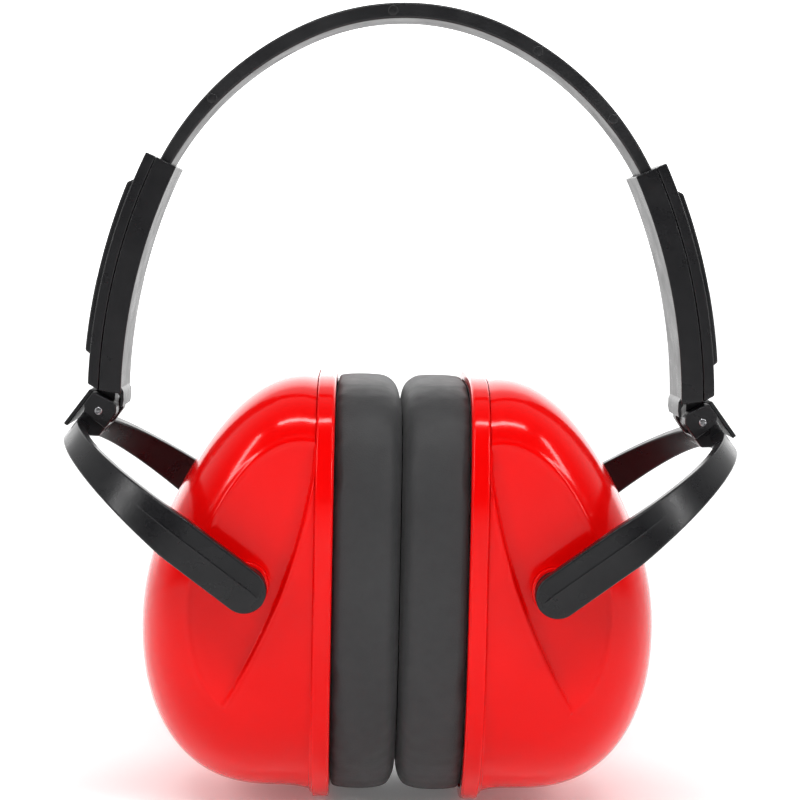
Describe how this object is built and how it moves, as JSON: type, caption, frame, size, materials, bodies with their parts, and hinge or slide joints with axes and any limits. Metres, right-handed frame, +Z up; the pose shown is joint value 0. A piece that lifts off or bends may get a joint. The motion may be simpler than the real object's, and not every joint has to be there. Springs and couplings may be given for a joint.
{
  "type": "earmuff hearing protector",
  "caption": "Folding over-the-head earmuff: deep oval cups with soft cushions, held by forked yokes that hinge on sliding sleeves of a slim arched headband.",
  "frame": {"origin": "on the ground under the middle of the part, midway between the two cups", "axes": "+X from the left cup to the right cup, +Y to the back, +Z up to the headband's crown"},
  "size_m": [0.1662, 0.098, 0.196],
  "materials": {
    "band_plastic": "satin black nylon",
    "black_plastic": "satin black moulded plastic",
    "pin_plastic": "satin black moulded plastic",
    "inner_plastic": "matt dark plastic",
    "red_plastic": "polished bright red plastic",
    "cushion_skin": "soft matt dark grey vinyl skin",
    "foam": "open-cell dark foam",
    "pin_steel": "bare steel",
    "spring_steel": "spring steel"
  },
  "bodies": {
    "headband": {"headband": "band_plastic"},
    "left_sleeve": {"left_sleeve_channel": "black_plastic", "left_sleeve_cover": "black_plastic", "left_click_spring": "spring_steel"},
    "left_yoke": {"left_yoke": "black_plastic", "left_hinge_pin": "pin_steel", "left_front_pivot_pin": "pin_plastic", "left_rear_pivot_pin": "pin_plastic"},
    "left_cup": {"left_cup_shell": "red_plastic", "left_seal_ring": "red_plastic", "left_cushion_plate": "inner_plastic", "left_cushion_skin": "cushion_skin", "left_cushion_foam": "foam", "left_cup_liner": "foam"},
    "right_sleeve": {"right_sleeve_channel": "black_plastic", "right_sleeve_cover": "black_plastic", "right_click_spring": "spring_steel"},
    "right_yoke": {"right_yoke": "black_plastic", "right_hinge_pin": "pin_steel", "right_front_pivot_pin": "pin_plastic", "right_rear_pivot_pin": "pin_plastic"},
    "right_cup": {"right_cup_shell": "red_plastic", "right_seal_ring": "red_plastic", "right_cushion_plate": "inner_plastic", "right_cushion_skin": "cushion_skin", "right_cushion_foam": "foam", "right_cup_liner": "foam"}
  },
  "joints": [
    {"name": "left_slide", "type": "slide", "parent": "headband", "child": "left_sleeve", "axis": [-0.3231, 0, -0.9464], "range_m": [0, 0.018]},
    {"name": "left_fold", "type": "hinge", "parent": "left_sleeve", "child": "left_yoke", "pos_m": [-0.0744, 0, 0.0949], "axis": [0, -1, 0], "range_deg": [0, 88], "deforming": ["left_cushion_skin", "left_cushion_foam", "right_cushion_skin", "right_cushion_foam"]},
    {"name": "left_turn", "type": "hinge", "parent": "left_yoke", "child": "left_cup", "pos_m": [-0.036, 0, 0.0575], "axis": [0, -1, 0], "range_deg": [-90, 2]},
    {"name": "right_slide", "type": "slide", "parent": "headband", "child": "right_sleeve", "axis": [0.3231, 0, -0.9464], "range_m": [0, 0.018]},
    {"name": "right_fold", "type": "hinge", "parent": "right_sleeve", "child": "right_yoke", "pos_m": [0.0744, 0, 0.0949], "axis": [0, 1, 0], "range_deg": [0, 88], "deforming": ["left_cushion_skin", "left_cushion_foam", "right_cushion_skin", "right_cushion_foam"]},
    {"name": "right_turn", "type": "hinge", "parent": "right_yoke", "child": "right_cup", "pos_m": [0.036, 0, 0.0575], "axis": [0, 1, 0], "range_deg": [-90, 2]}
  ],
  "couplings": [
    {"joint": "left_turn", "follows": "left_fold", "ratio": -1},
    {"joint": "right_turn", "follows": "right_fold", "ratio": -1}
  ]
}
